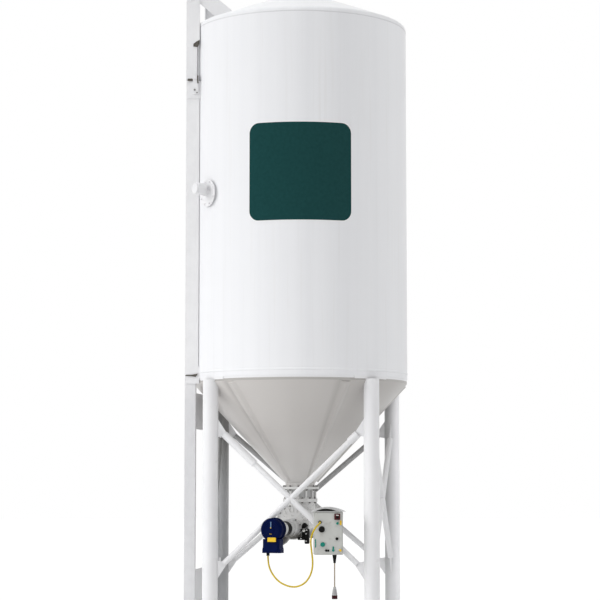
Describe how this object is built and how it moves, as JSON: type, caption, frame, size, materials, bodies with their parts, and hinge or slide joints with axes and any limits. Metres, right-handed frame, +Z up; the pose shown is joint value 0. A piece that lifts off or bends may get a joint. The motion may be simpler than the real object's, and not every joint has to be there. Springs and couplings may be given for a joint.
{
  "type": "cement silo",
  "caption": "Upright cement silo with dished roof and discharge cone on braced round legs, with transport frame, level sensor, and a continuous mixer with motor and control box below.",
  "frame": {"origin": "on the ground, on the silo's upright axis between the four legs", "axes": "+Z up, -Y towards the front with the control box and motor, -X towards the transport frame"},
  "size_m": [2.4088, 2.4758, 8.05],
  "materials": {
    "silo_paint": "semi-gloss white paint",
    "cone_paint": "dusty light paint",
    "frame_paint": "semi-gloss white paint",
    "mixer_paint": "grey paint under cement dust",
    "motor_paint": "dark blue enamel",
    "box_paint": "light grey powder coat",
    "hood_black": "black paint",
    "bracket_steel": "grey paint",
    "control_plastic": "moulded plastic",
    "gland_rubber": "matt rubber",
    "cable_yellow": "yellow sheath",
    "lead_rubber": "worn tan sheath"
  },
  "bodies": {
    "root": {"wall_plate_1": "silo_paint", "wall_plate_2": "silo_paint", "wall_plate_3": "silo_paint", "wall_plate_4": "silo_paint", "wall_plate_5": "silo_paint", "wall_plate_6": "silo_paint", "roof_dome": "silo_paint", "roof_hatch": "silo_paint", "cone_plate_1": "cone_paint", "cone_plate_2": "cone_paint", "cone_plate_3": "cone_paint", "cone_plate_4": "cone_paint", "leg_front_left": "frame_paint", "leg_front_right": "frame_paint", "leg_rear_left": "frame_paint", "leg_rear_right": "frame_paint", "foot_plates": "frame_paint", "leg_pads": "frame_paint", "front_brace_through": "frame_paint", "front_brace_halves": "frame_paint", "right_brace_through": "frame_paint", "right_brace_halves": "frame_paint", "rear_brace_through": "frame_paint", "rear_brace_halves": "frame_paint", "left_brace_through": "frame_paint", "left_brace_halves": "frame_paint", "brace_gussets": "frame_paint", "brace_sleeves": "frame_paint", "near_rail": "frame_paint", "far_rail": "frame_paint", "rail_heads": "frame_paint", "roof_struts": "frame_paint", "rail_brackets": "frame_paint", "frame_crossbars": "frame_paint", "fill_pipe": "frame_paint", "vent_pipe": "frame_paint", "pipe_clamps": "frame_paint", "sensor_flange": "frame_paint", "level_sensor": "frame_paint", "outlet_flange": "mixer_paint", "outlet_valve": "mixer_paint", "feed_housing": "mixer_paint", "housing_end_plates": "mixer_paint", "gear_unit": "mixer_paint", "mixing_tube": "mixer_paint", "discharge_spout": "mixer_paint", "motor": "motor_paint", "terminal_box": "motor_paint", "control_box": "box_paint", "box_hood": "hood_black", "box_bracket": "bracket_steel", "box_controls": "control_plastic", "cable_glands": "gland_rubber", "supply_plug": "gland_rubber", "motor_cable": "cable_yellow", "supply_lead": "lead_rubber"}
  },
  "joints": []
}
